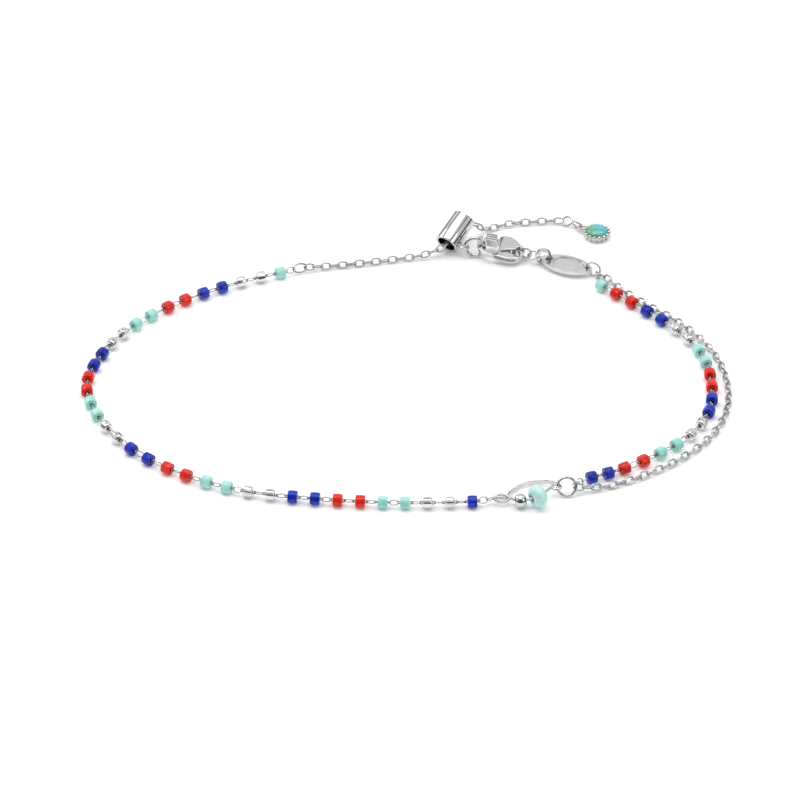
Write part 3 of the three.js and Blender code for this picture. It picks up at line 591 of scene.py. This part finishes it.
# Outer edge, round the front bar to the tail
claspFront = [
    (0.1, 0.35), (0.18, -0.3), (0.36, -0.9), (0.7, -1.45), (1.15, -1.8), (1.7, -2.0), (2.4, -2.08),
    (3.0, -2.12), (3.3, -2.2), (3.8, -2.3), (4.8, -2.36), (5.5, -2.28), (6.05, -2.05), (6.5, -1.65),
    (6.85, -1.1), (6.95, -0.5), (6.6, 0.3)]
# Inner edge, round the mouth to the nose
claspNose = [(3.3, -0.25), (3.42, -1.2), (3.3, -1.5), (2.9, -1.62), (2.3, -1.62), (1.75, -1.5), (1.3, -1.2),
             (1.02, -0.8), (0.85, -0.4), (0.8, 0.3), (0.8, 1.15), (0.5, 1.2), (0.15, 0.95)]
# The two cheeks cover the lever; the core between them leaves it room
claspCheek = claspFront + [
    (6.3, 0.6), (6.05, 0.86), (5.4, 1.4), (4.9, 1.72), (4.5, 1.88), (3.9, 1.84), (2.95, 1.62),
    (3.2, 0.4)] + claspNose
claspCore = claspFront + [
    (6.2, 0.7), (5.55, 1.05), (5.4, 1.0), (5.3, 0.55), (4.8, 0.18), (4.2, 0.02), (3.5, -0.06)] + claspNose
# Cuts: a groove along the front bar's edge, and a slanting slit in the near side
claspGroove = [(3.0, -2.8), (6.9, -2.8), (7.1, -1.5), (6.4, -1.6), (6.0, -1.82), (5.4, -1.94), (4.6, -1.96),
               (3.8, -1.9), (3.0, -1.84)]
claspSlit = [(3.75, -1.42), (3.75, -1.0), (4.68, -0.66), (5.72, -0.3), (6.05, -0.3), (6.5, -0.85),
             (6.55, -1.35), (6.35, -1.7), (5.9, -1.66), (5.5, -1.36), (4.7, -1.1)]
leverArm = [(0.93, 0.46), (0.98, 0.4), (4.75, 0.3), (5.1, 0.45), (5.25, 0.8), (5.1, 1.15), (4.75, 1.28),
            (4.4, 1.2), (3.15, 1.2), (3.15, 1.3), (1.6, 1.3), (1.6, 1.2), (0.98, 1.2), (0.93, 1.1)]


def addPlate(shape, outline, low, high):
    start, count = len(shape["points"]), len(outline)
    shape["points"] += [Vector((x, y, z)) for z in (low, high) for x, y in outline]
    for i in range(count):
        k = (i + 1) % count
        shape["faces"].append((start + i, start + k, start + count + k, start + count + i))
    shape["faces"].append(tuple(range(start + count - 1, start - 1, -1)))
    shape["faces"].append(tuple(range(start + count, start + 2 * count)))


def circle(middle, radius, sides=40):
    return [(middle[0] + radius * math.cos(2 * math.pi * i / sides),
             middle[1] + radius * math.sin(2 * math.pi * i / sides)) for i in range(sides)]


# Plates are joined, holes cut and every edge melted round, in mm. `taper` thins the nose: where it is
# thinnest, over what length it grows to full thickness, and its share of that thickness
def castPlates(name, plates, cuts, voxel, rounds, place, taper=None):
    joined, bored = newShape(), newShape()
    for plate in plates:
        addPlate(joined, *plate)
    for cut in cuts:
        addPlate(bored, *cut)
    parts = []
    for label, shape in (("joined", joined), ("bored", bored)):
        work = gathered(shape)
        bmesh.ops.triangulate(work, faces=work.faces)
        bmesh.ops.recalc_face_normals(work, faces=work.faces)
        mesh = bpy.data.meshes.new(name + label)
        work.to_mesh(mesh)
        work.free()
        parts.append(addObject(name + label, mesh))
    fuse = {"mode": "VOXEL", "voxel_size": voxel}
    for part in parts if cuts else parts[:1]:
        addModifier(part, "REMESH", fuse)
    if cuts:
        addModifier(parts[0], "BOOLEAN", {"operation": "DIFFERENCE", "object": parts[1]})
        addModifier(parts[0], "REMESH", fuse)
    addModifier(parts[0], "SMOOTH", {"factor": 0.5, "iterations": rounds})
    result = bpy.data.meshes.new_from_object(parts[0].evaluated_get(bpy.context.evaluated_depsgraph_get()))
    for part in parts:
        bpy.data.objects.remove(part)
    if taper:
        start, reach, thin = taper
        for vertex in result.vertices:
            part = min(max((vertex.co.x - start) / reach, 0), 1)
            vertex.co.z *= thin + (1 - thin) * part * part * (3 - 2 * part)
    result.transform(Matrix.Scale(mm, 4) @ place)
    for polygon in result.polygons:
        polygon.use_smooth = True
    return result


claspHalf, slotHalf = clasp["thick"] / 2, clasp["slot"] / 2
claspPlates = [(claspCheek, slotHalf, claspHalf), (claspCheek, -claspHalf, -slotHalf),
               (claspCore, -claspHalf, claspHalf),
               (circle(clasp["eyeAt"], clasp["eye"]), -clasp["eyeHalf"], clasp["eyeHalf"])]
claspCuts = [(circle(clasp["eyeAt"], clasp["bore"]), -through, through), (claspGroove, *clasp["groove"]),
             (claspSlit, clasp["slit"], through)]
claspMesh = castPlates("body", claspPlates, claspCuts, clasp["grain"], clasp["rounds"], at("clasp"),
                       clasp["taper"])
addPiece("clasp_body_cast", claspMesh, silver, ["clasp_body"])


# A rib across the thumb piece, which leans toward the nose as y grows
def ribPlate(y, half=0.1, slope=0.254):
    left, right = 1.5 - slope * y, 3.06 - slope * y
    outline = [(left, y - half), (right, y - half), (right, y + half), (left, y + half)]
    return outline, -lever["ribHalf"], lever["ribHalf"]


thumb = [(1.4, 0.4), (2.96, 0.4), (2.62, 1.7), (1.08, 1.7)]
leverPlates = [(leverArm, -lever["armHalf"], lever["armHalf"]),
               (thumb, -lever["thumbHalf"], lever["thumbHalf"])]
leverPlates += [ribPlate(y) for y in (0.42, 0.82, 1.22, 1.62)]
leverMesh = castPlates("lever", leverPlates, [], lever["grain"], lever["rounds"], at("clasp"))
addPiece("clasp_lever_cast", leverMesh, silver, ["clasp_lever"], "lever")

# Tag: a leaf-shaped plate with a sunk field, a slot for the band ring and a hole for the tag ring
tag = {"length": 7.6, "width": 3.8, "thick": 0.6, "rim": 0.42, "field": 0.2, "fieldEnds": (-1.8, 2.3),
       "fieldBlunt": 5, "stretch": 1.13, "hole": 0.4, "holeAt": 2.86, "slot": (-3.17, -2.23), "slotHalf": 0.5,
       "tip": 3.62, "grain": 0.04, "rounds": 2}


# Half the leaf's width at x: each side is an arc of one circle
def leafHeight(x, half, wide):
    radius = (half ** 2 + wide ** 2) / (2 * wide)
    return max(math.sqrt(radius ** 2 - x ** 2) - radius + wide, 0)


# The left half is drawn a little longer; `blunt` rounds the ends of the field
def leaf(inset, start, stop, blunt=0, steps=40):
    top = []
    for i in range(steps + 1):
        x = start + (stop - start) * i / steps
        y = leafHeight(x, tag["length"] / 2, tag["width"] / 2) - inset
        if blunt:
            y *= max(1 - abs(2 * i / steps - 1) ** blunt, 0.004) ** 0.5  # never quite closed
        top.append((x * (tag["stretch"] if x < 0 else 1), y))
    return top + [(x, -y) for x, y in reversed(top)]


low, high = tag["slot"]
wide = tag["slotHalf"]
tagHalf = tag["thick"] / 2
tagCuts = [(leaf(tag["rim"], *tag["fieldEnds"], tag["fieldBlunt"]), tagHalf - tag["field"], through),
           (circle((tag["holeAt"], 0), tag["hole"]), -through, through),
           ([(low, -wide), (high, -wide), (high, wide), (low, wide)], -through, through)]
tagPlate = (leaf(0, -tag["tip"], tag["tip"]), -tagHalf, tagHalf)
tagMesh = castPlates("tag", [tagPlate], tagCuts, tag["grain"], tag["rounds"], at("tag_plate"))
addPiece("tag_plate_struck", tagMesh, silverWorn, ["tag_plate"])
print("clasp and tag made")

# Centre piece
centre = {
    "wire": 0.38, "bandHigh": 0.56, "bandThick": 0.24, "bandSquare": 0.45,
    "eye": 2.5, "eyeWidth": 1.5, "eyePoint": 1.5, "eyeLean": math.radians(20),
    "crossSize": 0.9, "crossWire": 0.8, "crossTurn": math.radians(9), "crossLean": math.radians(-48),
    "crossShift": (0.05, 0, 0.05), "chordFrom": 1.06, "bowFrom": (0.83, 0.51, 0),  # from the eye's middle
    "end": 1.5, "endAt": 1.33, "reach": 0.56,  # end loop, its middle from the ring's, and where wires meet it
}
bowPoints = [(14.4, -20.6, 0.4), (16.2, -19.0, 0.4), (18.2, -18.5, 0.4), (19.6, -19.1, 0.7)]


# A sine or cosine bent toward a point (power over 1) or a square (under 1), with its sign kept
def bent(value, power):
    return math.copysign(abs(value) ** power, value)


def pointsAlong(route, steps):
    return [along(route, route["length"] * i / steps * 0.9999)[0] for i in range(steps + 1)]


frameShape = newShape()
frameSection = roundSection(centre["wire"] / 2, 14)
eyePath = []
for i in range(48):
    turn = 2 * math.pi * i / 48
    reach = (centre["eye"] - centre["wire"]) / 2 * math.cos(turn)
    width = (centre["eyeWidth"] - centre["wire"]) / 2 * bent(math.sin(turn), centre["eyePoint"])
    eyePath.append((reach, width, 0))
eyePlace = placed(frameEye, frameOn, leaning(frameOn, centre["eyeLean"]))
addSwept(frameShape, eyePath, frameSection, eyePlace, True)
# A second loop, wound across the first, closes the eye
crossed = Matrix.Rotation(centre["crossTurn"], 4, up) @ Matrix.Scale(centre["crossSize"], 4)
crossPlace = placed(frameEye + Vector(centre["crossShift"]), frameOn, leaning(frameOn, centre["crossLean"]))
crossSection = roundSection(centre["wire"] / 2 * centre["crossWire"], 14)
addSwept(frameShape, eyePath, crossSection, crossPlace @ crossed, True)
# The straight side carries the ball and the stone; the bow is a flat band on edge
frameEnd = ringAt - Vector((centre["endAt"], 0, 0))
ballAt, stoneAt = Vector(placings["silver_ball"][0]), Vector(placings["turquoise_stone"][0])
chord = evenRoute([frameEye + frameOn * centre["chordFrom"], ballAt, stoneAt,
                   frameEnd - Vector((centre["reach"], 0, 0))])
addSwept(frameShape, pointsAlong(chord, 40), frameSection, inPlace)
bow = evenRoute([frameEye + Vector(centre["bowFrom"]), *shifted(bowPoints),
                 frameEnd + Vector((0, centre["reach"], 0))])
high, thick, square = centre["bandHigh"] / 2, centre["bandThick"] / 2, centre["bandSquare"]
bandSection = [(bent(math.cos(t), square) * thick, bent(math.sin(t), square) * high)
               for t in [2 * math.pi * j / 24 for j in range(24)]]
addSwept(frameShape, pointsAlong(bow, 48), bandSection, inPlace)
addLink(frameShape, centre["end"], centre["end"], centre["wire"], placed(frameEnd, (1, 0, 0)), 36, 14)
addPiece("centre_frame_wire", frameShape, silver, ["centre_frame"])

# A ball with its poles cut off round the wire: `spread` is the angle from its waist to the cut
ball = {"half": 0.685, "radius": 0.95, "spread": 0.27 * math.pi}
ballShape = newShape()
ballProfile = [(-0.66, 0.5), (-0.68, 0.58)]
for i in range(-8, 9):
    turn = ball["spread"] * i / 8
    ballProfile.append((ball["half"] * math.sin(turn) / math.sin(ball["spread"]),
                        ball["radius"] * math.cos(turn)))
ballProfile += [(0.68, 0.58), (0.66, 0.5)]
addTurned(ballShape, ballProfile, at("silver_ball"), 48, True)
addPiece("silver_ball_bead", ballShape, silver, ["silver_ball"])

stoneShape = newShape()
stoneSide = [(0.82, 0.42), (0.97, 0.56), (0.95, 0.9), (0.7, 1.26), (0.36, 1.49)]  # hole, face, slope, girdle
stoneProfile = [(-x, r) for x, r in stoneSide] + stoneSide[::-1]
addTurned(stoneShape, stoneProfile, at("turquoise_stone"), 14, True)
stoneMesh = toMesh("stone", stoneShape, 60)
stonePiece = addPiece("turquoise_stone_bead", stoneMesh, tumbledTurquoise("turquoiseTumbled"),
                      ["turquoise_stone"])
# Its facets' edges are worn round
addModifier(stonePiece, "BEVEL", {"width": 0.09 * mm, "segments": 3, "limit_method": "ANGLE",
                                  "angle_limit": math.radians(8)})
print("centre piece made")

# Charm
charm = {"radius": 1.95, "prongs": 15, "prong": 0.27, "prongHigh": 0.82, "eye": 1.4, "wire": 0.36,
         "eyeAt": (2.41, 0, 0.62), "stone": 1.5, "dome": (0.9, 0.65)}  # dome: its foot and its rise
charmAt = at("charm")
turnUp = Matrix.Rotation(-math.pi / 2, 4, "Y")  # x of a turned form goes up
settingShape = newShape()
# Wall and seat of the cup that holds the stone, as pairs of height and radius
cup = [(0.0, 0.3), (0.0, 1.42), (0.06, 1.52), (0.5, 1.6), (0.84, 1.6), (0.88, 1.57), (0.86, 1.53),
       (0.42, 1.54), (0.4, 0.3)]
addTurned(settingShape, cup, charmAt @ turnUp, 56, True)
for i in range(charm["prongs"]):
    turn = 2 * math.pi * (i + 0.5) / charm["prongs"]
    spoke = Vector((math.cos(turn), math.sin(turn), 0))
    tip = charmAt @ (spoke * (charm["radius"] - charm["prong"]) + up * charm["prongHigh"])
    foot = charmAt @ (spoke * (charm["radius"] - charm["prong"] - 0.1) + up * 0.1)
    addBall(settingShape, charm["prong"], tip)
    addSwept(settingShape, [foot, foot.lerp(tip, 0.5), tip], roundSection(charm["prong"] * 0.7, 12),
             inPlace, False, spoke)
addLink(settingShape, charm["eye"], charm["eye"], charm["wire"], charmAt @ Matrix.Translation(charm["eyeAt"]),
        36, 14)
addPiece("charm_setting_crown", settingShape, silver, ["charm_setting"])

stoneRadius = charm["stone"]
base, rise = charm["dome"]
dome = [(0.45, 0.05), (0.45, stoneRadius - 0.03), (0.48, stoneRadius)]
for i in range(15):
    turn = math.pi / 2 * i / 14.6  # stops just short of the pole, which a flat face closes
    dome.append((base + rise * math.sin(turn), stoneRadius * math.cos(turn)))
domeShape = newShape()
addTurned(domeShape, dome, charmAt @ turnUp, 56)
addPiece("charm_stone_dome", domeShape,
         polishedCabochon("cabochonPolishedTeal", charmAt @ Vector((-0.5, -0.5, 1.4)), stoneRadius),
         ["charm_stone"])
print("charm made")

# Floor, lights and camera
floorHalf = 1.5  # m, so its edge stays out of sight
floorMesh = bpy.data.meshes.new("floor")
work = bmesh.new()
bmesh.ops.create_grid(work, x_segments=2, y_segments=2, size=floorHalf)
work.to_mesh(floorMesh)
work.free()
floor = addObject("floor", floorMesh)
# Matt white acrylic, lit from below: even, with no gloss, and its glow thins the shadows
paper, paperTree, paperShader, paperSpot = newMaterial("lightTableAcrylicMatt", {
    "Roughness": 0.95, "Specular IOR Level": 0.1, "Emission Color": linear("#FFFFFF"),
    "Emission Strength": 0.12})
paperColour, _ = mottled(paperTree, paperSpot, 40, [(0.2, "#FBFBFB"), (0.8, "#FDFDFD")])
paperTree.links.new(paperColour, paperShader.inputs["Base Color"])
floorMesh.materials.append(paper)

# The studio round the anklet: pale walls, dark near the floor and behind the camera, a dark band high up
world = bpy.data.worlds.new("studio")
bpy.context.scene.world = world
world.use_nodes = True
studio = world.node_tree
sky = addNode(studio, "ShaderNodeTexCoord").outputs["Generated"]
axes = addNode(studio, "ShaderNodeSeparateXYZ", links={"Vector": sky})


# Brightness along one axis of the studio, from its value `low` to its value `high`
def shade(source, stops, low, high):
    spread = addNode(studio, "ShaderNodeMapRange", sockets={"From Min": low, "From Max": high},
                     links={"Value": source})
    return setStops(addNode(studio, "ShaderNodeValToRGB", links={"Fac": spread.outputs["Result"]}), stops)


upward = shade(axes.outputs["Z"], [(0.0, 0.02), (0.18, 0.04), (0.26, 0.85), (0.6, 1.0), (0.66, 0.9),
                                   (0.69, 0.2), (0.74, 0.2), (0.78, 0.9)], 0.0, 1.0)
backward = shade(axes.outputs["Y"], [(0.0, 0.12), (0.2, 0.16), (0.32, 0.85), (1.0, 1.0)], -1.0, 1.0)
both = addNode(studio, "ShaderNodeMix", {"data_type": "RGBA", "blend_type": "MULTIPLY"},
               {"Factor": 1.0}, {6: upward, 7: backward})
background = studio.nodes["Background"]
background.inputs["Strength"].default_value = 1.05
studio.links.new(both.outputs[2], background.inputs["Color"])

lights = {  # place in m, size in m, power in W
    "overhead": ((0.0, 0.05, 0.6), 0.5, 1.2),
    "leftBack": ((-0.45, 0.3, 0.35), 0.22, 0.52),
    "rightFront": ((0.4, -0.25, 0.3), 0.16, 0.2),
    "keyLeft": ((-0.2, 0.03, 0.5), 0.06, 0.3),
    "keyRight": ((0.26, 0.14, 0.42), 0.045, 0.1),
}
for name, (place, size, power) in lights.items():
    data = bpy.data.lights.new(name, "AREA")
    data.size = size
    data.energy = power
    lamp = addObject(name, data)
    lamp.location = place
    lamp.rotation_euler = (-Vector(place)).to_track_quat("-Z", "Y").to_euler()

view = {"tilt": math.radians(36.1), "distance": 600, "lens": 203.3}  # down from level, in mm
target = shift * mm
away = Vector((0, -math.cos(view["tilt"]), math.sin(view["tilt"])))
cameraData = bpy.data.cameras.new("camera")
cameraData.lens = view["lens"]
cameraData.sensor_width = 36
cameraData.clip_start = 0.01
cameraData.clip_end = 10
camera = addObject("camera", cameraData)
camera.location = target + away * view["distance"] * mm
camera.rotation_euler = (-away).to_track_quat("-Z", "Y").to_euler()
bpy.context.scene.camera = camera
bpy.context.scene.view_settings.view_transform = "Standard"
print("stage ready")
